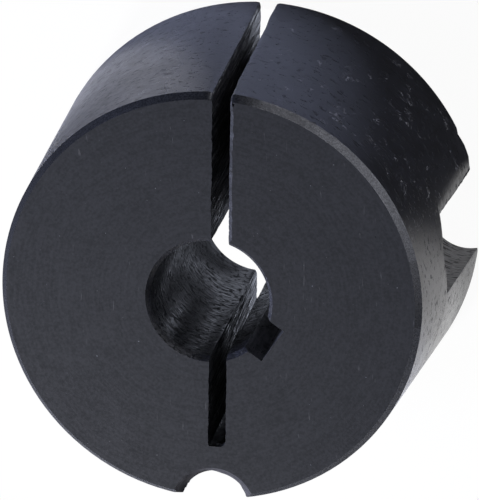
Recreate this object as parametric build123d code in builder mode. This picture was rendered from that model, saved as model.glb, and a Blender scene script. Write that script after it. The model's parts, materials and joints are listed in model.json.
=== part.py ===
from build123d import *
import math
import os

os.makedirs("parts", exist_ok=True)

# A split taper bushing: a cast iron cone with a keyed bore, sawn through on one side so that it
# closes on a shaft when screws draw it into a hub of the same taper.
# The origin is on the bore axis in the plane of the large end. +Z runs to the small end and +Y
# towards the split. Sizes are in millimetres and angles in degrees.

# Turned blank. A chamfer's width lies across the end face and its height along the axis.
large_end_diameter = 35.2
length = 22.3
half_taper = 4.0
small_end_chamfer_width = 0.42
small_end_chamfer_height = 0.62
large_end_chamfer_width = 0.08
large_end_chamfer_height = 0.08

# Bore and keyway. The bore is a little over the shaft until the bushing is drawn in.
shaft_diameter = 9.0
shaft_clearance = 0.1
bore_chamfer_width = 0.32
bore_chamfer_height = 0.5
key_width = 3.0
keyway_depth = 1.4
keyway_angle = -33.5

# Screws, whose holes lie half in the bushing and half in the hub
screw_diameter = 6.35
screw_clearance = 0.05
thread_height = 0.575
countersink_angle = 90.0

# Two blind plain half-holes, opposite each other, for drawing the bushing in
insertion_circle_diameter = 33.7
insertion_hole_angle = 5.8
insertion_hole_depth = 12.1
insertion_countersink_margin = 0.35
drill_point_angle = 135.0

# One tapped half-hole, right through, for jacking the bushing out
removal_circle_diameter = 33.36
removal_hole_angle = -88.2
removal_countersink_margin = 0.1

# Saw cut: right through above the bore, and a relief below it that stops short of the tapped hole.
# The saw has wandered sideways on its way from the small end to the large end.
saw_width = 1.38
saw_offset = 0.72
saw_drift = 0.42
relief_web = 2.45
relief_corner_radius = 0.45

# Sizes that follow from those above
large_end_radius = large_end_diameter / 2
taper_slope = math.tan(math.radians(half_taper))
shaft_radius = shaft_diameter / 2
bore_radius = (shaft_diameter + shaft_clearance) / 2
bore_mouth_radius = bore_radius + bore_chamfer_width
insertion_hole_radius = (screw_diameter + screw_clearance) / 2
insertion_countersink_radius = screw_diameter / 2 + insertion_countersink_margin
tapping_hole_radius = screw_diameter / 2 - thread_height
removal_countersink_radius = screw_diameter / 2 + removal_countersink_margin
countersink_slope = math.tan(math.radians(countersink_angle / 2))
drill_point_length = insertion_hole_radius / math.tan(math.radians(drill_point_angle / 2))
relief_reach = removal_circle_diameter / 2 - tapping_hole_radius - relief_web

# What the drill and countersink take out of one insertion hole, about its own axis
with BuildPart() as insertion_hole:
    insertion_mouth = (insertion_countersink_radius - insertion_hole_radius) / countersink_slope
    with BuildSketch(Plane.XZ):
        with BuildLine():
            Polyline(
                (0, 0),
                (insertion_countersink_radius, 0),
                (insertion_hole_radius, insertion_mouth),
                (insertion_hole_radius, insertion_hole_depth),
                (0, insertion_hole_depth + drill_point_length),
                close=True,
            )
        make_face()
    revolve(axis=Axis.Z)

# What is taken out of the removal hole before it is tapped: a drill and a countersink at each end
with BuildPart() as removal_hole:
    removal_mouth = (removal_countersink_radius - tapping_hole_radius) / countersink_slope
    with BuildSketch(Plane.XZ):
        with BuildLine():
            Polyline(
                (0, 0),
                (removal_countersink_radius, 0),
                (tapping_hole_radius, removal_mouth),
                (tapping_hole_radius, length - removal_mouth),
                (removal_countersink_radius, length),
                (0, length),
                close=True,
            )
        make_face()
    revolve(axis=Axis.Z)

with BuildPart() as taper_bush:
    # Tapered body, turned and bored about one axis, with both rims and both mouths chamfered
    small_shoulder = length - small_end_chamfer_height
    with BuildSketch(Plane.XZ):
        with BuildLine():
            Polyline(
                (bore_mouth_radius, 0),
                (large_end_radius - large_end_chamfer_width, 0),
                (large_end_radius - taper_slope * large_end_chamfer_height, large_end_chamfer_height),
                (large_end_radius - taper_slope * small_shoulder, small_shoulder),
                (large_end_radius - taper_slope * length - small_end_chamfer_width, length),
                (bore_mouth_radius, length),
                (bore_radius, length - bore_chamfer_height),
                (bore_radius, bore_chamfer_height),
                close=True,
            )
        make_face()
    revolve(axis=Axis.Z)

    # Rim holes on the screw circle, each breaking out through the taper
    with PolarLocations(insertion_circle_diameter / 2, 2, start_angle=insertion_hole_angle):
        add(insertion_hole.part, mode=Mode.SUBTRACT)
    with PolarLocations(removal_circle_diameter / 2, 1, start_angle=removal_hole_angle):
        add(removal_hole.part, mode=Mode.SUBTRACT)

    # Keyway, broached along the whole bore
    with BuildSketch():
        with PolarLocations(0, 1, start_angle=keyway_angle):
            Rectangle(shaft_radius + keyway_depth, key_width, align=(Align.MIN, Align.CENTER))
    extrude(amount=length, mode=Mode.SUBTRACT)

    # Saw cut, swept along the line that the saw followed
    with BuildSketch(Plane.XY.offset(length)) as saw_path:
        with Locations((saw_offset, -relief_reach)):
            Rectangle(saw_width, relief_reach + large_end_diameter, align=(Align.CENTER, Align.MIN))
        relief_corners = saw_path.vertices().group_by(Axis.Y)[0]
        fillet(relief_corners, radius=min(relief_corner_radius, 0.45 * saw_width))
    extrude(amount=math.hypot(length, saw_drift), dir=(-saw_drift, 0, -length), mode=Mode.SUBTRACT)

taper_bush.part.label = "taper_bush"
export_step(taper_bush.part, "parts/taper_bush.step")
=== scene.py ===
import json
import math

import bmesh
import bpy
import numpy as np
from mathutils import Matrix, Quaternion, Vector

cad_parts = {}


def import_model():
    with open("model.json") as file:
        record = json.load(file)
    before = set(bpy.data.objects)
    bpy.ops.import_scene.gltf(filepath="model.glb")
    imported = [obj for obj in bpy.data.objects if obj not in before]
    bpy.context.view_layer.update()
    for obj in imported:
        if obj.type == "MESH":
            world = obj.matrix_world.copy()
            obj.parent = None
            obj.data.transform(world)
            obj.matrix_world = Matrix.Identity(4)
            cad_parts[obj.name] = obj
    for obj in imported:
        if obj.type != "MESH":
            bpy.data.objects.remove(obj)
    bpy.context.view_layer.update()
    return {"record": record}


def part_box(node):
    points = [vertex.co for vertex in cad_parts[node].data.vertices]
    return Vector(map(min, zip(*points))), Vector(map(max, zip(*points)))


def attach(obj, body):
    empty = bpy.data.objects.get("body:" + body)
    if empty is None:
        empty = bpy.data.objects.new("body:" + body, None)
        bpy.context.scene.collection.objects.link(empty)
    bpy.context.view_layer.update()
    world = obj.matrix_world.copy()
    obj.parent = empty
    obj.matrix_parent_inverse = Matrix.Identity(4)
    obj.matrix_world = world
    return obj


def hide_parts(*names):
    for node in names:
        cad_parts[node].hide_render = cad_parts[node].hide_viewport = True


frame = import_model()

# A split taper bushing of blackened iron, standing on its large end. The solid from the frame is
# replaced by one closed mesh of the same form, which adds the thread, the saw marks, the chips
# along the edges and the finish. The mesh is made in millimetres and scaled to metres at the end.

MM = 0.001

# Sizes that the frame holds
mounts = {mount["name"]: mount for mount in frame["record"]["mounts"]}
bore = mounts["shaft_bore"]
insertion_hole = mounts["insertion_hole_1"]
insertion_place = Vector(insertion_hole["pos_m"]) / MM
removal_place = Vector(mounts["removal_hole"]["pos_m"]) / MM
keyway_place = Vector(mounts["keyway"]["pos_m"]) / MM

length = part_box("taper_bush")[1].z / MM
bore_radius = bore["dims"]["r_mm"]
bore_chamfer_height = (length - bore["dims"]["length_mm"]) / 2
insertion_radius = insertion_hole["dims"]["r_mm"]
insertion_depth = insertion_hole["dims"]["length_mm"]
insertion_circle = insertion_place.xy.length
removal_circle = removal_place.xy.length
insertion_angle = math.atan2(insertion_place.y, insertion_place.x)
removal_angle = math.atan2(removal_place.y, removal_place.x)
keyway_angle = math.atan2(keyway_place.y, keyway_place.x)
keyway_floor = keyway_place.xy.length

# Sizes of the turned body, in millimetres
large_end_radius = 17.6
half_taper = math.radians(4.0)
small_end_chamfer_width = 0.42
small_end_chamfer_height = 0.62
large_end_chamfer_width = 0.08
large_end_chamfer_height = 0.08
bore_chamfer_width = 0.32
key_width = 3.0
insertion_countersink = 3.525
removal_countersink = 3.275
drill_point_angle = math.radians(135.0)

# Thread in the removal half-hole. The corners are shares of a pitch from the middle of a crest: the
# crest's flat, the flank, and a root that is slightly hollow.
thread_pitch = 1.27
thread_crest = mounts["removal_hole"]["dims"]["r_mm"]
thread_root = 3.175
thread_root_rise = 0.05
thread_corners = [0.0, 0.125, 0.375, 0.5]
rows_per_turn = 8

# Saw cut, right through above the bore and stopping short below it
saw_width = 1.38
saw_offset = 0.72
saw_drift = 0.42
relief_reach = 11.63
right_wall_heights = [0.0, 1.0, 3.0, 6.0, 15.0, 18.0, 22.3]
right_wall_lean = [0.15, 0.15, 0.2, 0.07, 0.12, 0.12, 0.0]
relief_left_shift = 0.07
relief_left_corner = 0.14
relief_right_corner = 0.5
saw_mark_lean = 0.08


# Random fields, the same at every run

def ease(t):
    """Runs from 0 to 1 with level ends."""
    t = np.clip(t, 0.0, 1.0)
    return t * t * (3.0 - 2.0 * t)


def grain(u, v, size_u, size_v, seed):
    """A smooth random field from -1 to 1, whose spots measure about size_u by size_v."""
    count = 97
    lattice = np.random.default_rng(seed).uniform(-1.0, 1.0, (count, count))
    a = u / size_u
    b = v / size_v
    i = np.floor(a).astype(int)
    j = np.floor(b).astype(int)
    s = ease(a - i)
    t = ease(b - j)
    left, right = i % count, (i + 1) % count
    low, high = j % count, (j + 1) % count
    low_edge = lattice[left, low] * (1 - s) + lattice[right, low] * s
    high_edge = lattice[left, high] * (1 - s) + lattice[right, high] * s
    return low_edge * (1 - t) + high_edge * t


# Profiles along the axis

def taper_radius(z):
    """Outside radius of the turned body, with a chamfer at both rims."""
    slope = math.tan(half_taper)
    shoulder = length - small_end_chamfer_height
    radii = [
        large_end_radius - large_end_chamfer_width,
        large_end_radius - large_end_chamfer_height * slope,
        large_end_radius - shoulder * slope,
        large_end_radius - length * slope - small_end_chamfer_width,
    ]
    return np.interp(z, [0.0, large_end_chamfer_height, shoulder, length], radii)


def bore_profile(z):
    """Radius of the bore, with a chamfer at both mouths."""
    mouth = bore_radius + bore_chamfer_width
    heights = [0.0, bore_chamfer_height, length - bore_chamfer_height, length]
    return np.interp(z, heights, [mouth, bore_radius, bore_radius, mouth])


def insertion_profile(z):
    """Radius of a blind half-hole: countersink, plain wall and drill point."""
    point_length = insertion_radius / math.tan(drill_point_angle / 2)
    mouth = insertion_countersink - insertion_radius
    heights = [0.0, mouth, insertion_depth, insertion_depth + point_length]
    return np.interp(z, heights, [insertion_countersink, insertion_radius, insertion_radius, 0.0])


def helix_rise(t):
    """How far the thread has climbed at a share t of the way round the half-hole."""
    return thread_pitch * (0.5 - t) / 2


def removal_profile(z, t, phase):
    """Radius of the tapped half-hole: a thread between two countersinks."""
    turns = (z - helix_rise(t)) / thread_pitch + phase
    off_crest = np.abs(turns - np.round(turns))
    thread = np.interp(
        off_crest,
        thread_corners,
        [thread_crest, thread_crest, thread_root - thread_root_rise, thread_root],
    )
    sink = removal_countersink - thread_crest
    mouth = np.interp(
        z,
        [0.0, sink, length - sink, length],
        [removal_countersink, thread_crest, thread_crest, removal_countersink],
    )
    return np.maximum(thread, mouth)


def saw_middle(z):
    """Where the saw ran at height z."""
    return saw_offset - saw_drift * (length - z) / length


# Rows: the heights at which the outline is repeated. Away from the thread they meet every turned
# edge, with a few rows between for the broken edges; in the tapped half-hole they follow the thread.
# The drill point leaves the iron through the taper at drill_exit, and its rows crowd towards there.

rim_rows = np.array(
    [0.0, large_end_chamfer_height, 0.2, insertion_countersink - insertion_radius, bore_chamfer_height]
)
top_rows = length - np.array([small_end_chamfer_height, bore_chamfer_height, 0.25, 0.07, 0.0])
middle_count = 134
drill_rows = 8
drill_crowding = 1.7
wall_rows = 74
point_slope = math.tan(drill_point_angle / 2)
drill_tip = insertion_depth + insertion_radius / point_slope
drill_exit_margin = 0.004
drill_exit = (
    (drill_tip * point_slope + large_end_radius - insertion_circle)
    / (point_slope + math.tan(half_taper))
    - drill_exit_margin
)
thread_fade_rows = 8.0


def plain_rows():
    """Heights of the rows away from the thread."""
    wall = np.linspace(rim_rows[-1], insertion_depth, wall_rows + 1)[1:]
    share = np.linspace(0.0, 1.0, drill_rows + 1)[1:]
    point = drill_exit - (drill_exit - insertion_depth) * (1.0 - share) ** drill_crowding
    rest = np.linspace(drill_exit, top_rows[0], middle_count - wall_rows - drill_rows + 2)[1:-1]
    return np.concatenate([rim_rows, wall, point, rest, top_rows])


def thread_rows(t):
    """Heights of the rows in the tapped half-hole, for shares t of the way round it."""
    step = thread_pitch / rows_per_turn
    start = (rim_rows[-1] + top_rows[0] - (middle_count - 1) * step) / 2
    index = np.arange(middle_count)
    fade = ease(np.minimum(index, middle_count - 1 - index) / thread_fade_rows)
    middle = start + index[:, None] * step + helix_rise(t) * fade[:, None]
    ones = np.ones((1, t.shape[1]))
    return np.vstack([rim_rows[:, None] * ones, middle, top_rows[:, None] * ones]), -start / thread_pitch


# Outline: one closed loop per row, anticlockwise seen from the small end. Each stretch gives its
# points as x, y and z arrays with one line per row, and the length along it in millimetres.

def lips(circle, hole_radius, outside_radius):
    """Half the angle that a half-hole takes from the rim, about the bore and about its own axis."""
    reach = circle ** 2 + outside_radius ** 2 - hole_radius ** 2
    about_bore = np.arccos(np.clip(reach / (2 * circle * outside_radius), -1.0, 1.0))
    about_hole = np.arctan2(
        outside_radius * np.sin(about_bore), outside_radius * np.cos(about_bore) - circle
    )
    return about_bore, about_hole


def half_hole(circle, angle, t, radius, about_hole_start, about_hole_end):
    """Wall of a half-hole from its clockwise lip to its anticlockwise lip."""
    turn = -about_hole_start - t * (2 * math.pi - about_hole_start - about_hole_end)
    out = circle + radius * np.cos(turn)
    side = radius * np.sin(turn)
    x = out * math.cos(angle) - side * math.sin(angle)
    y = out * math.sin(angle) + side * math.cos(angle)
    return x, y


# The share of a blind half-hole's wall at which it starts to swell, and how far its columns spread
# out over the taper above the drill point
swelling_start = 0.7
spread_at_tip = math.radians(0.15)
spread_above = math.radians(9.0)
spread_height = 6.0


def insertion_stretch(angle, count, swelling=0.0):
    """One blind half-hole, whose wall may swell towards its anticlockwise lip, which is rounded more.
    Above the drill point its columns spread out again over the taper."""
    t = np.linspace(0.0, 1.0, count)[None, :]
    z = plain_rows()[:, None]
    outside = taper_radius(z)
    radius = insertion_profile(z)
    about_bore, about_hole = lips(insertion_circle, radius, outside)
    swollen = radius * (1.0 - swelling / insertion_radius)
    about_bore_end, about_hole_end = lips(insertion_circle, swollen, outside)
    wall = radius + (swollen - radius) * ease((t - swelling_start) / (1.0 - swelling_start))
    x, y = half_hole(insertion_circle, angle, t, wall, about_hole, about_hole_end)
    above = z > drill_exit + 1e-6
    spread = spread_at_tip + spread_above * ease((z - drill_exit) / spread_height)
    about_bore = np.where(above, spread, about_bore)
    about_bore_end = np.where(above, spread, about_bore_end)
    polar = angle - about_bore + (about_bore + about_bore_end) * t
    x = np.where(above, outside * np.cos(polar), x)
    y = np.where(above, outside * np.sin(polar), y)
    return (x, y, z + 0 * t), (angle - about_bore, angle + about_bore_end)


def removal_stretch(angle, count):
    """The tapped half-hole, right through."""
    t = np.linspace(0.0, 1.0, count)[None, :]
    z, phase = thread_rows(t)
    radius = removal_profile(z, t, phase)
    outside = taper_radius(z)
    about_bore, about_hole = lips(removal_circle, radius, outside)
    x, y = half_hole(removal_circle, angle, t, radius, about_hole[:, :1], about_hole[:, -1:])
    ends = (angle - about_bore[:, :1], angle + about_bore[:, -1:])
    return (x, y, z), ends


def arc_shares(count, fine):
    """Shares of an arc between its ends, closer together near both ends."""
    even = np.linspace(0.0, 1.0, count - 2 * len(fine) + 2)[1:-1]
    fine = np.array(fine)
    even = fine[-1] + (1.0 - 2 * fine[-1]) * even
    return np.concatenate([fine, even, 1.0 - fine[::-1]])[None, :]


taper_fine_shares = [0.006, 0.015, 0.03]
bore_fine_shares = [0.01, 0.025]
levelling = 2.2


def taper_stretch(start, end, count, z_start=None, z_end=None):
    """The taper between two polar angles, both left out. Its rows level out from those of the thread."""
    t = arc_shares(count, taper_fine_shares)
    z = plain_rows()[:, None]
    z_start = z if z_start is None else z_start
    z_end = z if z_end is None else z_end
    towards_start = 1.0 - ease(t * levelling)
    towards_end = 1.0 - ease((1.0 - t) * levelling)
    z = z + (z_start - z) * towards_start + (z_end - z) * towards_end
    polar = start + (end - start) * t
    outside = taper_radius(z)
    return outside * np.cos(polar), outside * np.sin(polar), z


def straight_wall(x, y_start, y_end, count):
    """A sawn wall from y_start to y_end, both ends included."""
    t = np.linspace(0.0, 1.0, count)[None, :]
    y = y_start + (y_end - y_start) * t
    return x + 0 * t, y, plain_rows()[:, None] + 0 * t


def bore_stretch(start, end, count):
    """The bore between two polar angles, both left out."""
    t = arc_shares(count, bore_fine_shares)
    z = plain_rows()[:, None]
    polar = start + (end - start) * t
    radius = bore_profile(z)
    return radius * np.cos(polar), radius * np.sin(polar), z + 0 * t


def path_stretch(corners, counts):
    """Straight runs from corner to corner, each corner once."""
    xs = []
    ys = []
    for (x0, y0), (x1, y1), count in zip(corners[:-1], corners[1:], counts):
        t = np.arange(count)[None, :] / count
        xs.append(x0 + (x1 - x0) * t)
        ys.append(y0 + (y1 - y0) * t)
    xs.append(corners[-1][0])
    ys.append(corners[-1][1])
    x = np.hstack(xs)
    y = np.hstack(ys)
    return x, y, plain_rows()[:, None] + 0 * x


def keyway_stretch():
    """The keyway, from its anticlockwise wall round to its clockwise wall."""
    z = plain_rows()[:, None]
    mouth = np.sqrt(bore_profile(z) ** 2 - (key_width / 2) ** 2)
    floor = keyway_floor + 0 * z
    corners = []
    for out, side in ((mouth, 1), (floor, 1), (floor, -1), (mouth, -1)):
        side = side * key_width / 2
        x = out * math.cos(keyway_angle) - side * math.sin(keyway_angle)
        y = out * math.sin(keyway_angle) + side * math.cos(keyway_angle)
        corners.append((x, y))
    return path_stretch(corners, [7, 13, 7])


def rounded_corner(x, y, radius, start, end, count):
    """A quarter turn about a centre given as arrays with one value per row."""
    turn = start + (end - start) * np.linspace(0.0, 1.0, count)[None, :]
    return x + radius * np.cos(turn), y + radius * np.sin(turn)


relief_columns = 46


def relief_stretch():
    """The relief below the bore: right wall, blind end, left wall."""
    z = plain_rows()[:, None]
    right = saw_middle(z) + saw_width / 2
    left = saw_middle(z) - saw_width / 2 + relief_left_shift
    top_right = -np.sqrt(bore_profile(z) ** 2 - right ** 2)
    top_left = -np.sqrt(bore_profile(z) ** 2 - left ** 2)
    end = -relief_reach + 0 * z
    wall = np.arange(relief_columns)[None, :] / relief_columns
    x_right = right + 0 * wall
    y_right = top_right + (end + relief_right_corner - top_right) * wall
    corner_a = rounded_corner(
        right - relief_right_corner, end + relief_right_corner, relief_right_corner, 0.0, -math.pi / 2, 7
    )
    corner_b = rounded_corner(
        left + relief_left_corner, end + relief_left_corner, relief_left_corner, -math.pi / 2, -math.pi, 4
    )
    back = (np.arange(relief_columns)[None, :] + 1) / relief_columns
    x_left = left + 0 * back
    y_left = end + relief_left_corner + (top_left - end - relief_left_corner) * back
    x = np.hstack([x_right, corner_a[0], corner_b[0], x_left])
    y = np.hstack([y_right, corner_a[1], corner_b[1], y_left])
    return x, y, z + 0 * x


# The kinds of surface, in the order of their materials, and the places of four stretches in the outline
TAPER, DRILLED, TAPPED, SAWN, BORED, BROACHED, FACED, RIM = range(8)
NEAR_HOLE, RIGHT_WALL, RELIEF, LEFT_WALL = 5, 7, 11, 13

# How far an upright edge is broken back, how far along the surface that reaches, the depth of the
# chips in it and the width rubbed pale, for a part's first and last edge, in millimetres
PLAIN_EDGE = (0.02, 0.12, 0.03, 0.3)
EDGES = {
    (RIGHT_WALL, 0): (0.12, 0.30, 0.05, 0.3),
    (LEFT_WALL, 1): (0.10, 0.30, 0.05, 0.3),
    (NEAR_HOLE, 1): (0.32, 0.90, 0.09, 0.6),
    (NEAR_HOLE, 0): (0.02, 0.15, 0.05, 0.3),
}

# Marks and damage, in millimetres and degrees. Each saw mark has a depth, its size across and along
# the cut, and a seed. A chip has a share of the depth, a length and a first seed.
SAW_MARKS = ((0.024, 0.17, 9.0, 3), (0.02, 0.9, 6.0, 4), (0.012, 0.2, 0.5, 5))
CHIPS = ((0.6, 0.23, 20), (0.7, 0.9, 40))
edge_falloff = 1.5
bore_ring_depth = 0.005
bore_ring_size = (0.35, 1.6)
slit_bevel = 0.25
slit_bevel_uneven = 0.25
near_lip_swelling = 0.2
near_lip_flare = 0.15
near_lip_flare_reach = 1.2
near_lip_flare_height = 2.0
dent_depth = 0.18
dent_angle = 26.0
dent_width = 1.1
dent_height = 1.6
hollow_depth = 0.2
hollow_place = 6.5
hollow_width = 1.6
hollow_height = 9.0
burr_height = 0.5
burr_mean = -0.055
burr_uneven = 0.06
fray_mean = 0.03
fray_uneven = 0.035
sawn_top_worn = 0.3
# Where the rim chamfer is rubbed pale, in degrees round the axis, and the angle above which it is only half as
# pale: partly wear and partly painted light on that side
rim_rubbed_and_lit_from = -75.0
rim_rubbed_and_lit_to = 140.0
rim_rubbed_and_lit_fades = (14.0, 25.0)
rim_lit_below = 66.0
rim_lit_fade = 10.0

# Random fields that vary along an edge only are drawn out by these in the other direction. The gap
# keeps marks off the taper above a drill point, and the slack is for comparing heights.
chips_drawn_out = 50.0
top_drawn_out = 9.0
unmarked_gap = 9.0
slack = 0.01


def outline():
    """All stretches in order, as x, y and z of every point and the kind of surface of each column."""
    z = plain_rows()[:, None]
    outside = taper_radius(z)
    inside = bore_profile(z)
    right = saw_middle(z) + saw_width / 2 - np.interp(z, right_wall_heights, right_wall_lean)
    left = saw_middle(z) - saw_width / 2
    relief_right = saw_middle(z) + saw_width / 2
    relief_left = left + relief_left_shift
    half_key = np.arcsin(key_width / 2 / inside)
    rim_right, rim_left = (np.sqrt(outside ** 2 - wall ** 2) for wall in (right, left))
    mouth_right, mouth_left = (np.sqrt(inside ** 2 - wall ** 2) for wall in (right, left))

    far_hole, far_ends = insertion_stretch(insertion_angle + math.pi, 34)
    tapped_hole, tapped_ends = removal_stretch(removal_angle + 2 * math.pi, 48)
    near_hole, near_ends = insertion_stretch(insertion_angle + 2 * math.pi, 44, near_lip_swelling)

    stretches = [
        (TAPER, taper_stretch(np.arccos(left / outside), far_ends[0], 34)),
        (DRILLED, far_hole),
        (TAPER, taper_stretch(far_ends[1], tapped_ends[0], 26, z_end=tapped_hole[2][:, :1])),
        (TAPPED, tapped_hole),
        (TAPER, taper_stretch(tapped_ends[1], near_ends[0], 30, z_start=tapped_hole[2][:, -1:])),
        (DRILLED, near_hole),
        (TAPER, taper_stretch(near_ends[1], 2 * math.pi + np.arccos(right / outside), 46)),
        (SAWN, straight_wall(right, rim_right, mouth_right, 76)),
        (BORED, bore_stretch(np.arccos(right / inside), keyway_angle + half_key, 26)),
        (BROACHED, keyway_stretch()),
        (BORED, bore_stretch(keyway_angle - half_key, -np.arccos(relief_right / inside), 14)),
        (SAWN, relief_stretch()),
        (BORED, bore_stretch(-np.arccos(relief_left / inside), np.arccos(left / inside) - 2 * math.pi, 48)),
        (SAWN, straight_wall(left, mouth_left, rim_left, 112)),
    ]
    counts = [points[0].shape[1] for _, points in stretches]
    kinds = np.repeat([kind for kind, _ in stretches], counts)
    parts = np.repeat(np.arange(len(stretches)), counts)
    x, y, z = (np.hstack([points[axis] for _, points in stretches]) for axis in range(3))
    return x, y, z, kinds, parts


def edge_distances(x, y, z, kinds, parts):
    """Distance along the outline to each upright edge, as one layer per edge, and each edge's part."""
    step = np.hypot(np.roll(x, -1, axis=1) - x, np.roll(y, -1, axis=1) - y)
    along = np.cumsum(step, axis=1) - step
    around = np.sum(step, axis=1)[:, None]
    layers = []
    owners = []
    for number in range(parts[-1] + 1):
        columns = np.flatnonzero(parts == number)
        if kinds[columns[0]] in (TAPER, BORED):
            continue
        for column in (columns[0], columns[-1]):
            gap = np.abs(along - along[:, column:column + 1])
            gap = np.minimum(gap, around - gap)
            if kinds[column] == DRILLED:
                gap = gap + unmarked_gap * (z > drill_exit)
            layers.append(gap)
            owners.append(number)
    return np.stack(layers), owners


def falling(distance, reach):
    """Falls evenly from 1 at no distance to 0 at the reach."""
    return np.clip(1.0 - distance / reach, 0.0, 1.0)


def bush_mesh():
    """The bushing as one closed mesh, the kind of each upright face and how worn each point is, which on the
    rim chamfer is partly painted light.
    """
    x, y, z, kinds, parts = outline()
    rows, columns = x.shape

    # Into the iron, square to the outline
    forth_x = np.roll(x, -1, axis=1) - x
    forth_y = np.roll(y, -1, axis=1) - y
    size = np.hypot(forth_x, forth_y) + 1e-9
    forth_x = forth_x / size
    forth_y = forth_y / size
    along_x = forth_x + np.roll(forth_x, 1, axis=1)
    along_y = forth_y + np.roll(forth_y, 1, axis=1)
    size = np.hypot(along_x, along_y) + 1e-9
    in_x = -along_y / size
    in_y = along_x / size

    # Saw marks and bore rings
    depth = np.zeros_like(x)
    sawn = kinds == SAWN
    across = y + saw_mark_lean * z
    marks = sum(deep * grain(across, z, size_u, size_v, seed) for deep, size_u, size_v, seed in SAW_MARKS)
    depth[:, sawn] = marks[:, sawn]
    bored = kinds == BORED
    rings = 0.5 + 0.5 * grain(z, np.arctan2(y, x) * bore_radius, *bore_ring_size, 6)
    depth[:, bored] = bore_ring_depth * rings[:, bored]

    # The upright edges are worn and chipped, each by its own amount
    gaps, owners = edge_distances(x, y, z, kinds, parts)
    wear = np.zeros_like(x)
    for number, (gap, owner) in enumerate(zip(gaps, owners)):
        amount, reach, chips, pale = EDGES.get((owner, number % 2), PLAIN_EDGE)
        near = falling(gap, reach) ** edge_falloff
        chipped = sum(
            share * grain(z, z, size, chips_drawn_out, seed + number) for share, size, seed in CHIPS
        )
        depth = depth + near * (amount + chips * np.clip(chipped, 0.0, 1.0))
        wear = np.maximum(wear, falling(gap, pale))
        if (owner, number % 2) == (NEAR_HOLE, 1):
            flare = near_lip_flare * falling(gap, near_lip_flare_reach) * falling(z, near_lip_flare_height)
            depth = depth + flare
    polar = np.degrees(np.arctan2(y, x))
    rim = (kinds == TAPER) & (z > length - small_end_chamfer_height - slack)
    dent = dent_depth * np.exp(-((polar - dent_angle) / dent_width) ** 2) * falling(z, dent_height)
    depth = depth + dent * (kinds == TAPER)
    # The rim chamfer is paler over part of its round, most below 66 degrees: partly wear, partly painted light
    # on the side where light falls
    fade_in, fade_out = rim_rubbed_and_lit_fades
    rubbed_and_lit = ease((polar - rim_rubbed_and_lit_from) / fade_in) * ease((rim_rubbed_and_lit_to - polar) / fade_out)
    rubbed_and_lit = rubbed_and_lit * (0.5 + 0.5 * ease((rim_lit_below - polar) / rim_lit_fade))
    wear = np.maximum(wear, rubbed_and_lit * rim)
    wear = np.maximum(wear, sawn * (length - z < sawn_top_worn))
    wear = np.maximum(wear, (kinds == BORED) * (length - z < bore_chamfer_height + slack))

    # At the small end the saw's right wall is broken back, burrs hang over its left wall, and the
    # relief's edge is frayed. The left wall has a hollow near the large end.
    from_top = falling(length - z, slit_bevel)
    right_wall = parts == RIGHT_WALL
    bevel = slit_bevel * from_top * (1.0 + slit_bevel_uneven * grain(y, z, 0.5, top_drawn_out, 7))
    depth[:, right_wall] += bevel[:, right_wall]
    left_wall = parts == LEFT_WALL
    burr = burr_mean + burr_uneven * grain(y, z, 0.22, top_drawn_out, 8)
    depth[:, left_wall] += (falling(length - z, burr_height) * burr)[:, left_wall]
    hollow = hollow_depth * np.exp(-((y - hollow_place) / hollow_width) ** 2) * falling(z, hollow_height)
    depth[:, left_wall] += hollow[:, left_wall]
    relief_wall = parts == RELIEF
    frayed = fray_mean + fray_uneven * grain(y + 3 * x, z, 0.2, top_drawn_out, 9)
    depth[:, relief_wall] += (from_top * frayed)[:, relief_wall]

    x = x + in_x * depth
    y = y + in_y * depth

    points = np.stack([x, y, z], axis=-1).reshape(-1, 3) * MM
    index = np.arange(rows * columns).reshape(rows, columns)
    here = index[:-1]
    above = index[1:]
    quads = np.stack(
        [here, np.roll(here, -1, axis=1), np.roll(above, -1, axis=1), above], axis=-1
    ).reshape(-1, 4)
    faces = quads.tolist()
    faces.append(index[-1].tolist())
    faces.append(index[0][::-1].tolist())

    # A face between two kinds of surface belongs to the arc, which leaves its ends out
    after = np.roll(kinds, -1)
    arc_after = (after == TAPER) | (after == BORED)
    face_kinds = np.tile(np.where(arc_after, after, kinds), (rows - 1, 1))
    above_drill = plain_rows()[:-1, None] > drill_exit - slack
    face_kinds = np.where(above_drill & (face_kinds == DRILLED), TAPER, face_kinds)
    above_shoulder = plain_rows()[:-1, None] > length - small_end_chamfer_height - slack
    face_kinds = np.where(above_shoulder & (face_kinds == TAPER), RIM, face_kinds).reshape(-1)

    mesh = bpy.data.meshes.new("taper_bush_body")
    mesh.from_pydata(points.tolist(), [], faces)
    worn = mesh.attributes.new("wear", "FLOAT", "POINT")
    worn.data.foreach_set("value", wear.reshape(-1).astype(np.float32))
    mesh.validate()
    return mesh, face_kinds


# Materials: blackened iron, with marks that run as each surface was cut

def feed(tree, socket, value):
    """Links an output to a socket, or sets the socket's own number."""
    if isinstance(value, bpy.types.NodeSocket):
        tree.links.new(value, socket)
    else:
        socket.default_value = value


def calc(tree, operation, *values):
    """Result of a math node."""
    node = tree.nodes.new("ShaderNodeMath")
    node.operation = operation
    for socket, value in zip(node.inputs, values):
        feed(tree, socket, value)
    return node.outputs[0]


def vector(tree, x, y, z):
    """A vector from three numbers or outputs."""
    node = tree.nodes.new("ShaderNodeCombineXYZ")
    for socket, value in zip(node.inputs, (x, y, z)):
        feed(tree, socket, value)
    return node.outputs[0]


def noise(tree, place, size, detail=2.0, rough=0.55, warp=0.0):
    """Fractal noise, mostly from 0.3 to 0.7, with spots of a size in millimetres."""
    node = tree.nodes.new("ShaderNodeTexNoise")
    tree.links.new(place, node.inputs["Vector"])
    node.inputs["Scale"].default_value = 1.0 / size
    node.inputs["Detail"].default_value = detail
    node.inputs["Roughness"].default_value = rough
    node.inputs["Distortion"].default_value = warp
    return node.outputs[0]


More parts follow.
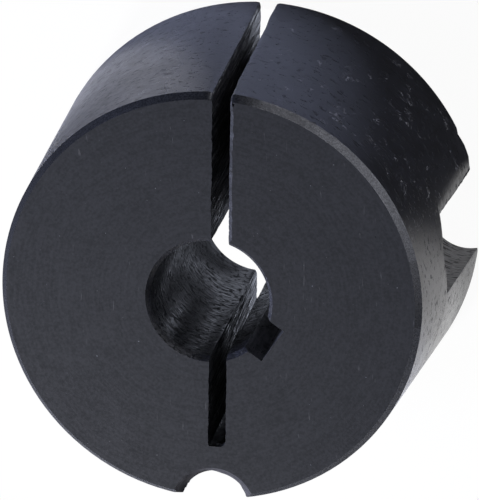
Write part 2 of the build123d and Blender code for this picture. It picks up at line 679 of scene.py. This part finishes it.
def ramp(tree, value, low, high, bottom=0.0, top=1.0):
    """Eases from bottom to top while the value goes from low to high."""
    node = tree.nodes.new("ShaderNodeMapRange")
    node.interpolation_type = "SMOOTHSTEP"
    for socket, number in zip(node.inputs, (value, low, high, bottom, top)):
        feed(tree, socket, number)
    return node.outputs[0]


def blend(tree, share, first, second):
    """Mixes two colours, each an output or three numbers."""
    node = tree.nodes.new("ShaderNodeMix")
    node.data_type = "RGBA"
    feed(tree, node.inputs[0], share)
    for socket, colour in ((node.inputs[6], first), (node.inputs[7], second)):
        if isinstance(colour, bpy.types.NodeSocket):
            tree.links.new(colour, socket)
        else:
            socket.default_value = (*colour, 1.0)
    return node.outputs[2]


def surface_places(tree):
    """The point on the surface, its three coordinates and its distance from the bore axis, in mm."""
    coordinates = tree.nodes.new("ShaderNodeTexCoord")
    scaled = tree.nodes.new("ShaderNodeVectorMath")
    scaled.operation = "SCALE"
    scaled.inputs["Scale"].default_value = 1.0 / MM
    tree.links.new(coordinates.outputs["Object"], scaled.inputs[0])
    split = tree.nodes.new("ShaderNodeSeparateXYZ")
    tree.links.new(scaled.outputs[0], split.inputs[0])
    x, y, z = split.outputs
    radius = calc(tree, "SQRT", calc(tree, "ADD", calc(tree, "MULTIPLY", x, x), calc(tree, "MULTIPLY", y, y)))
    return scaled.outputs[0], x, y, z, radius


def marks_place(tree, lay, places, stretch):
    """Coordinates in which the tool marks are even: squeezed across them, stretched along them."""
    _, x, y, z, radius = places
    along, across = stretch
    if lay == "sawn":
        drop = calc(tree, "ADD", y, calc(tree, "MULTIPLY", z, saw_mark_lean))
        return vector(tree, x, calc(tree, "MULTIPLY", drop, across), calc(tree, "MULTIPLY", z, along))
    if lay == "around":
        scales = ((x, along), (y, along), (z, across))
    elif lay == "faced":
        scales = ((x, along), (y, along), (radius, across))
    else:
        scales = ((x, across), (y, across), (z, along))
    return vector(tree, *(calc(tree, "MULTIPLY", value, scale) for value, scale in scales))


# What differs from one surface to the next. Depths and sizes are in millimetres; the stretch is the
# number of marks to a millimetre, along them and across them.
PLAIN = {
    "ior": 1.5,
    "stretch": (0.8, 4.0),
    "cloud_share": 0.3,
    "mottle_size": 0.7,
    "mottle_share": 0.35,
    "contrast": 0.12,
    "marks_depth": 0.004,
    "grit_depth": 0.003,
    "uneven": 0.5,
    "pits": 0.30,
    "pores": 0.0,
    "specks": 0.76,
    "worn": 0.0,
    "dull_side": 0.0,
    "lint": 0.0,
    "scratches": 0.0,
    "ridges": 0.0,
}

# What lies over the iron's own tones
PIT = (0.003, 0.003, 0.004)
SPECK = (0.26, 0.27, 0.29)
RIDGE = (0.55, 0.55, 0.55)
LINT = (0.26, 0.26, 0.27)
SCRATCH = (0.09, 0.09, 0.095)
BARE = (0.175, 0.18, 0.195)
pit_strength = 0.85
speck_strength = 0.6
cloud_size = 2.6
grit_size = 0.16
speck_size = 0.2
bare_spot_size = 0.11
ridge_break_size = 0.8
lint_curl_size = 1.0
lint_patch_size = 1.3
pore_stretch = (1.5, 3.2)
pit_depth = 0.02
pit_roughness = 0.35
ridge_polish = 0.34

# Ramps: the two ends of a range, and what they give there if that isn't 0 and 1. Those of a noise
# are shares from 0 to 1, and those named by_x and the like are places in millimetres.
pit_edge = 0.06
pore_edge = 0.05
speck_edge = 0.05
pores_by_x = (2.0, 11.0, 0.45, 1.0)
ridge_breaks = (0.40, 0.58)
ridge_lines = (0.56, 0.61)
lint_by_x_and_y = (16.0, 22.0, 0.08, 0.0)
lint_patches = (0.648, 0.658)
lint_threads = (0.022, 0.008)
scratch_lines = (0.72, 0.78)
scratch_clouds = (0.52, 0.62)
bare_spots = (0.30, 0.70)
dull_reach = -13.0
dull_by_z = (4.0, 20.0, 0.75, 1.35)


def laid_over(tree, colour, share, strength, tone):
    """The colour with another tone over it, by the share times the strength."""
    return blend(tree, calc(tree, "MULTIPLY", share, strength), colour, tone)


def pit_share(tree, lay, places, finish):
    """Where pits run with the tool marks, and where the casting has pores, which are more on the right."""
    along, across = finish["stretch"]
    field = noise(tree, marks_place(tree, lay, places, (along * 2.2, across * 0.8)), 1.0, rough=0.5)
    pitted = ramp(tree, field, finish["pits"], finish["pits"] - pit_edge)
    if finish["pores"] > 0.0:
        field = noise(tree, marks_place(tree, "around", places, pore_stretch), 1.0, rough=0.6)
        pore = ramp(tree, field, finish["pores"], finish["pores"] - pore_edge)
        more_right = ramp(tree, places[1], *pores_by_x)
        pitted = calc(tree, "MAXIMUM", pitted, calc(tree, "MULTIPLY", pore, more_right))
    return pitted


def ridge_share(tree, lay, places, finish, unworn):
    """Where bright ridges stand between the saw marks, in broken lines."""
    along, across = finish["stretch"]
    place = marks_place(tree, lay, places, (along * 0.6, across * 1.2))
    lines = noise(tree, place, 1.0, detail=3.0, rough=0.6)
    broken = ramp(tree, noise(tree, places[0], ridge_break_size), *ridge_breaks)
    ridge = calc(tree, "MULTIPLY", ramp(tree, lines, *ridge_lines), broken)
    return calc(tree, "MULTIPLY", ridge, unworn)


def lint_share(tree, places, unworn):
    """Where curled threads of lint lie, in patches that are more at the upper right."""
    place, x, y, _, _ = places
    curl = noise(tree, place, lint_curl_size, detail=1.0, rough=0.5, warp=1.6)
    off_curl = calc(tree, "ABSOLUTE", calc(tree, "SUBTRACT", curl, 0.5))
    fewer = ramp(tree, calc(tree, "ADD", x, y), *lint_by_x_and_y)
    spot = calc(tree, "SUBTRACT", noise(tree, place, lint_patch_size, detail=1.0), fewer)
    patch = calc(tree, "MULTIPLY", ramp(tree, spot, *lint_patches), unworn)
    return calc(tree, "MULTIPLY", ramp(tree, off_curl, *lint_threads), patch)


def scratch_share(tree, places, clouds):
    """Where fine scratches run, upright and slanted, in the paler clouds."""
    _, x, y, z, _ = places
    upright = vector(tree, calc(tree, "MULTIPLY", x, 7.0), calc(tree, "MULTIPLY", y, 0.45), z)
    slanted = vector(
        tree, calc(tree, "MULTIPLY_ADD", x, 4.5, y), calc(tree, "MULTIPLY_ADD", y, -0.5, x), z
    )
    upright, slanted = (noise(tree, lay, 1.0, detail=1.0) for lay in (upright, slanted))
    lines = calc(tree, "MAXIMUM", upright, slanted)
    return calc(tree, "MULTIPLY", ramp(tree, lines, *scratch_lines), ramp(tree, clouds, *scratch_clouds))


def iron(name, lay, dark, light, roughness, **changes):
    """Blackened iron: clouds and mottles between two tones, tool marks, grit, pits and pale specks."""
    finish = {**PLAIN, **changes}
    material = bpy.data.materials.new(name)
    material.use_nodes = True
    tree = material.node_tree
    shader = tree.nodes["Principled BSDF"]
    shader.inputs["IOR"].default_value = finish["ior"]
    places = surface_places(tree)
    place, x, _, z, _ = places

    marks = marks_place(tree, lay, places, finish["stretch"])
    marks = noise(tree, marks, 1.0, detail=3.0, rough=0.6, warp=0.3)
    clouds = noise(tree, place, cloud_size, detail=4.0, rough=0.62)
    mottle = noise(tree, place, finish["mottle_size"], detail=3.0, rough=0.6)
    grit = noise(tree, place, grit_size, rough=0.6)
    pitted = pit_share(tree, lay, places, finish)
    specks = noise(tree, place, speck_size, detail=1.0, rough=0.5)
    specks = ramp(tree, specks, finish["specks"], finish["specks"] + speck_edge)
    edge = tree.nodes.new("ShaderNodeAttribute")
    edge.attribute_name = "wear"
    wear = edge.outputs["Fac"]
    unworn = calc(tree, "SUBTRACT", 1.0, wear)

    # Colour
    marks_share = 1.0 - finish["cloud_share"] - finish["mottle_share"]
    tone = calc(tree, "MULTIPLY", clouds, finish["cloud_share"])
    tone = calc(tree, "MULTIPLY_ADD", mottle, finish["mottle_share"], tone)
    tone = calc(tree, "MULTIPLY_ADD", marks, marks_share, tone)
    colour = blend(tree, ramp(tree, tone, 0.5 - finish["contrast"], 0.5 + finish["contrast"]), dark, light)
    colour = laid_over(tree, colour, pitted, pit_strength, PIT)
    colour = laid_over(tree, colour, specks, speck_strength, SPECK)
    if finish["ridges"] > 0.0:
        ridge = ridge_share(tree, lay, places, finish, unworn)
        colour = laid_over(tree, colour, ridge, finish["ridges"], RIDGE)
    if finish["lint"] > 0.0:
        colour = laid_over(tree, colour, lint_share(tree, places, unworn), finish["lint"], LINT)
    if finish["scratches"] > 0.0:
        lines = scratch_share(tree, places, clouds)
        colour = laid_over(tree, colour, lines, finish["scratches"], SCRATCH)
    if finish["worn"] > 0.0:
        bare = ramp(tree, noise(tree, place, bare_spot_size, detail=3.0), *bare_spots)
        colour = laid_over(tree, colour, calc(tree, "MULTIPLY", wear, bare), finish["worn"], BARE)
    tree.links.new(colour, shader.inputs["Base Color"])

    # Roughness: the darker tones and the pits are duller, and so is the taper towards -X
    rough = calc(tree, "SUBTRACT", tone, 0.5)
    rough = calc(tree, "MULTIPLY_ADD", rough, -finish["uneven"], roughness)
    rough = calc(tree, "MULTIPLY_ADD", pitted, pit_roughness, rough)
    if finish["ridges"] > 0.0:
        rough = calc(tree, "MULTIPLY_ADD", ridge, -ridge_polish, rough)
    if finish["dull_side"] > 0.0:
        dull = ramp(tree, x, 0.0, dull_reach, 0.0, finish["dull_side"])
        dull = calc(tree, "MULTIPLY", dull, ramp(tree, z, *dull_by_z))
        rough = calc(tree, "ADD", rough, dull)
    tree.links.new(rough, shader.inputs["Roughness"])

    # Relief
    height = calc(tree, "MULTIPLY", marks, finish["marks_depth"])
    height = calc(tree, "MULTIPLY_ADD", grit, finish["grit_depth"], height)
    height = calc(tree, "MULTIPLY_ADD", pitted, -pit_depth, height)
    bump = tree.nodes.new("ShaderNodeBump")
    bump.inputs["Strength"].default_value = 1.0
    bump.inputs["Distance"].default_value = MM
    tree.links.new(height, bump.inputs["Height"])
    tree.links.new(bump.outputs["Normal"], shader.inputs["Normal"])
    return material


mesh, face_kinds = bush_mesh()
for material in (
    iron("iron_taper", "around", (0.006, 0.006, 0.009), (0.022, 0.023, 0.031), 0.19,
         stretch=(1.1, 4.5), cloud_share=0.40, mottle_share=0.48, mottle_size=0.6, uneven=0.38, contrast=0.13,
         pores=0.390, grit_depth=0.006, specks=0.77, worn=0.35, dull_side=0.27, lint=1.0),
    iron("iron_drilled", "around", (0.026, 0.026, 0.031), (0.105, 0.105, 0.120), 0.34,
         stretch=(0.6, 4.0), cloud_share=0.1, mottle_share=0.15, contrast=0.12, marks_depth=0.025, pits=0.43),
    iron("iron_tapped", "around", (0.010, 0.010, 0.013), (0.060, 0.060, 0.068), 0.42,
         stretch=(0.7, 5.0), marks_depth=0.01, grit_depth=0.006, pits=0.34),
    iron("iron_sawn", "sawn", (0.004, 0.004, 0.005), (0.038, 0.038, 0.042), 0.45,
         stretch=(0.2, 5.0), cloud_share=0.1, mottle_share=0.15, contrast=0.08, marks_depth=0.06,
         uneven=1.5, grit_depth=0.012, pits=0.42, worn=0.12, ridges=0.9),
    iron("iron_bored", "around", (0.003, 0.003, 0.005), (0.026, 0.027, 0.038), 0.29,
         stretch=(1.1, 5.0), cloud_share=0.08, mottle_share=0.12, contrast=0.09, uneven=0.9,
         marks_depth=0.003, grit_depth=0.003, pits=0.45, worn=0.35),
    iron("iron_broached", "along", (0.014, 0.014, 0.016), (0.170, 0.170, 0.180), 0.42,
         stretch=(0.4, 5.0), marks_depth=0.01, grit_depth=0.006, pits=0.32),
    iron("iron_face", "faced", (0.010, 0.011, 0.013), (0.020, 0.021, 0.025), 0.60,
         ior=1.3, stretch=(0.5, 5.0), cloud_share=0.15, mottle_size=0.22, mottle_share=0.55, contrast=0.14,
         marks_depth=0.003, grit_depth=0.006, pits=0.20, specks=0.80, scratches=0.5),
    iron("iron_rim", "faced", (0.010, 0.011, 0.013), (0.020, 0.021, 0.025), 0.25,
         stretch=(0.6, 5.0), cloud_share=0.15, mottle_size=0.22, mottle_share=0.55, contrast=0.14,
         marks_depth=0.002, grit_depth=0.004, pits=0.28, specks=0.78, worn=0.60),
):
    mesh.materials.append(material)
kinds = np.concatenate([face_kinds, [FACED, FACED]]).astype(np.int32)
mesh.polygons.foreach_set("material_index", kinds)
shaped = bmesh.new()
shaped.from_mesh(mesh)
for face in shaped.faces:
    face.smooth = True
crease = math.radians(28)
for edge in shaped.edges:
    cap = any(len(face.verts) > 4 for face in edge.link_faces)
    if cap or edge.calc_face_angle(0.0) > crease:
        edge.smooth = False
shaped.to_mesh(mesh)
shaped.free()
body = bpy.data.objects.new("taper_bush_body", mesh)
bpy.context.scene.collection.objects.link(body)
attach(body, "root")
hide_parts("taper_bush")


# Floor, lights and camera. Places on the floor are in millimetres about the bore axis, and ramps are
# written as above.

floor_near = (0.9, 0.9, 0.9)
# Painted shade: the floor's tone far off and towards -X beyond the split, laid out by the ranges below
floor_painted_shade = (0.10, 0.10, 0.11)
floor_white = 0.96
floor_sheen = 0.01
# Painted light: how brightly reflections find the floor glowing under the near insertion hole and beside the
# bushing, and where
hole_glow_strength = 0.42
hole_glow_reach = 1.2
far_shade_by_radius = (27.0, 46.0)
far_shade_by_x = (20.0, 70.0, 1.0, 0.3)
shade_by_x = (-1.0, -5.0)
shade_by_y = (14.0, 28.0, 0.0, 0.5)
glow_near_radius = (21.0, 19.0)
glow_near_x = (10.5, 14.0, 0.0, 0.5)
glow_near_y = (0.5, -2.5)

card_reach = 5.2 * MM
card_end = 17.0
card_points = 48
card_height = 0.02 * MM
strip_height = 0.03 * MM
card_margin = 0.3
card_tint = (0.86, 0.92, 1.10)
# The card's glow, painted light that the walls mirror: a slanted ground, a band, a spot and a corner in the
# bore, and strips under the saw cut near the rim, the relief and the keyway
card_slant = -1.65
card_ground = (-2.2, 2.2, 0.01, 0.05)
card_band_place = -1.05
card_band = (0.7, 0.1, 0.0, 1.15)
card_band_by_y = (-3.2, -1.8, 0.5, 1.0)
card_spot_place = (3.2, -0.3)
card_spot = (2.0, 0.3, 0.0, 1.1)
card_corner = (-4.2, -5.2, 0.0, 0.35)
card_corner_by_radius = (3.5, 4.2)
rim_by_y = (12.5, 16.5, 0.0, 1.0)
relief_by_y = (-4.0, -5.0, 0.0, 0.9)
key_by_x = (3.9, 4.6, 0.0, 0.9)


def off_centre(tree, x, y, centre):
    """Square of the distance from a place on the floor."""
    off_x = calc(tree, "SUBTRACT", x, centre[0])
    off_y = calc(tree, "SUBTRACT", y, centre[1])
    return calc(tree, "MULTIPLY_ADD", off_x, off_x, calc(tree, "MULTIPLY", off_y, off_y))


def staged(name, points, faces, material):
    """A piece of the set, made of flat faces."""
    mesh = bpy.data.meshes.new(name)
    mesh.from_pydata(points, [], faces)
    mesh.materials.append(material)
    made = bpy.data.objects.new(name, mesh)
    bpy.context.scene.collection.objects.link(made)


def seen_through(tree):
    """The light path, and whether the camera sees the surface, straight or through glass."""
    path = tree.nodes.new("ShaderNodeLightPath")
    return path, calc(tree, "MAXIMUM", path.outputs["Is Camera Ray"], path.outputs["Is Transmission Ray"])


def floor():
    """A pale floor, white to the camera, which also shows in reflections and keeps the shadow. Its colour
    holds painted shade: darker far off and towards -X beyond the split. To reflections it glows as painted
    light, a little brighter beside the bushing, between +X and -Y, and under the near insertion hole."""
    material = bpy.data.materials.new("pale_floor")
    material.use_nodes = True
    tree = material.node_tree
    shader = tree.nodes["Principled BSDF"]
    shader.inputs["Roughness"].default_value = 0.8
    path, seen = seen_through(tree)
    _, x, y, _, radius = surface_places(tree)

    # Painted shade: the floor darkens far off and towards -X beyond the split
    far = ramp(tree, radius, *far_shade_by_radius)
    far = calc(tree, "MULTIPLY", far, ramp(tree, x, *far_shade_by_x))
    shade = calc(tree, "MULTIPLY", ramp(tree, y, *shade_by_y), ramp(tree, x, *shade_by_x))
    shade = calc(tree, "MAXIMUM", far, shade)
    tree.links.new(blend(tree, shade, floor_near, floor_painted_shade), shader.inputs["Base Color"])

    # Painted light: to reflections the floor glows beside the bushing, between +X and -Y, and under the near
    # insertion hole
    beside = calc(tree, "MULTIPLY", ramp(tree, radius, *glow_near_radius), ramp(tree, y, *glow_near_y))
    beside = calc(tree, "MULTIPLY", beside, ramp(tree, x, *glow_near_x))
    off_hole = calc(tree, "SQRT", off_centre(tree, x, y, insertion_place))
    painted_glow_at_hole = ramp(tree, off_hole, insertion_radius + hole_glow_reach, insertion_radius, 0.0, hole_glow_strength)
    glow = calc(tree, "ADD", calc(tree, "MAXIMUM", beside, painted_glow_at_hole), floor_sheen)
    mirrored = calc(tree, "MULTIPLY", path.outputs["Is Glossy Ray"], glow)
    share = calc(tree, "MAXIMUM", calc(tree, "MULTIPLY", seen, floor_white), mirrored)
    white = tree.nodes.new("ShaderNodeEmission")
    white.inputs["Strength"].default_value = 1.0
    mix = tree.nodes.new("ShaderNodeMixShader")
    tree.links.new(share, mix.inputs["Fac"])
    tree.links.new(shader.outputs["BSDF"], mix.inputs[1])
    tree.links.new(white.outputs["Emission"], mix.inputs[2])
    tree.links.new(mix.outputs["Shader"], tree.nodes["Material Output"].inputs["Surface"])

    reach = 1.5
    corners = [(-reach, -reach, 0), (reach, -reach, 0), (reach, reach, 0), (-reach, reach, 0)]
    staged("floor", corners, [(0, 1, 2, 3)], material)


def light_card():
    """A card on the floor under the bore and the saw cut, glowing as over a light table though it is no lamp:
    painted light.
    It is white to the camera, and the walls mirror its pattern of darker and brighter places as painted
    reflections."""
    material = bpy.data.materials.new("lit_card")
    material.use_nodes = True
    tree = material.node_tree
    tree.nodes.remove(tree.nodes["Principled BSDF"])
    _, x, y, _, radius = surface_places(tree)

    # Painted light: the glow's strength is laid out to give the walls their reflections
    slant = calc(tree, "MULTIPLY_ADD", x, card_slant, y)
    strength = ramp(tree, slant, *card_ground)
    off_band = calc(tree, "ABSOLUTE", calc(tree, "SUBTRACT", x, card_band_place))
    band = ramp(tree, off_band, *card_band)
    band = calc(tree, "MULTIPLY", band, ramp(tree, y, *card_band_by_y))
    strength = calc(tree, "MAXIMUM", strength, band)
    spot = ramp(tree, off_centre(tree, x, y, card_spot_place), *card_spot)
    strength = calc(tree, "MAXIMUM", strength, spot)
    corner = ramp(tree, calc(tree, "ADD", x, y), *card_corner)
    corner = calc(tree, "MULTIPLY", corner, ramp(tree, radius, *card_corner_by_radius))
    strength = calc(tree, "MAXIMUM", strength, corner)
    under_rim = ramp(tree, y, *rim_by_y)
    under_relief = ramp(tree, y, *relief_by_y)
    under_key = ramp(tree, x, *key_by_x)
    under_cuts = calc(tree, "MAXIMUM", calc(tree, "MAXIMUM", under_rim, under_relief), under_key)
    in_bore = calc(tree, "LESS_THAN", radius, bore_radius + card_margin)
    strength = calc(tree, "MULTIPLY_ADD", strength, in_bore, under_cuts)

    _, seen = seen_through(tree)
    glow = tree.nodes.new("ShaderNodeEmission")
    tree.links.new(blend(tree, seen, card_tint, (1.0, 1.0, 1.0)), glow.inputs["Color"])
    tree.links.new(calc(tree, "MAXIMUM", seen, strength), glow.inputs["Strength"])
    tree.links.new(glow.outputs["Emission"], tree.nodes["Material Output"].inputs["Surface"])

    turns = np.linspace(0.0, 2 * math.pi, card_points, endpoint=False)
    disc = [(card_reach * math.cos(turn), card_reach * math.sin(turn), card_height) for turn in turns]
    left = (saw_offset - saw_drift - saw_width) * MM
    right = left + 2 * saw_width * MM
    low, high = -relief_reach * MM, card_end * MM
    strip = [(x, y, strip_height) for x, y in ((right, low), (right, high), (left, high), (left, low))]
    faces = [list(range(card_points)), list(range(card_points, card_points + 4))]
    staged("light_card", disc + strip, faces, material)


def lamp(name, azimuth, elevation, distance, size, power, colour):
    """A flat softbox aimed at the middle of the bushing. Azimuth 0 is at +X, 90 at +Y."""
    data = bpy.data.lights.new(name, "AREA")
    data.shape = "RECTANGLE"
    data.size, data.size_y = size
    data.energy = power
    data.color = colour
    made = bpy.data.objects.new(name, data)
    bpy.context.scene.collection.objects.link(made)
    a = math.radians(azimuth)
    e = math.radians(elevation)
    back = Vector((math.cos(a) * math.cos(e), math.sin(a) * math.cos(e), math.sin(e)))
    made.location = Vector((0, 0, length * MM / 2)) + back * distance
    made.rotation_mode = "QUATERNION"
    made.rotation_quaternion = (-back).to_track_quat("-Z", "Y")


def world(strength, colour):
    """Even light from all round."""
    made = bpy.data.worlds.new("studio")
    made.use_nodes = True
    background = made.node_tree.nodes["Background"]
    background.inputs["Color"].default_value = (*colour, 1.0)
    background.inputs["Strength"].default_value = strength
    bpy.context.scene.world = made


def camera():
    """The camera stands where the photograph's did, fitted to the bushing's rims."""
    target = Vector((0.244, 0.510, 11.15)) * MM
    azimuth = math.radians(150.714)
    elevation = math.radians(69.444)
    distance = 308.107 * MM
    roll = math.radians(-148.196)
    data = bpy.data.cameras.new("camera")
    data.lens = 285.7
    data.sensor_width = 36.0
    data.clip_start = 0.01
    data.clip_end = 10.0
    made = bpy.data.objects.new("camera", data)
    bpy.context.scene.collection.objects.link(made)
    back = Vector(
        (math.sin(azimuth) * math.cos(elevation), -math.cos(azimuth) * math.cos(elevation), math.sin(elevation))
    )
    made.location = target + back * distance
    made.rotation_mode = "QUATERNION"
    made.rotation_quaternion = (-back).to_track_quat("-Z", "Y") @ Quaternion((0, 0, 1), roll)
    bpy.context.scene.camera = made


floor()
light_card()
world(0.02, (0.96, 0.98, 1.06))
lamp("key_light", azimuth=236, elevation=38, distance=0.2,
     size=(0.027, 0.027), power=0.44, colour=(1.0, 0.99, 1.0))
lamp("cool_light", azimuth=191, elevation=28, distance=0.6,
     size=(0.35, 0.12), power=3.3, colour=(0.82, 0.91, 1.32))
lamp("rim_light", azimuth=33, elevation=2, distance=0.6,
     size=(1.5, 0.10), power=1.85, colour=(0.96, 0.98, 1.10))
camera()
bpy.context.scene.view_settings.view_transform = "Standard"
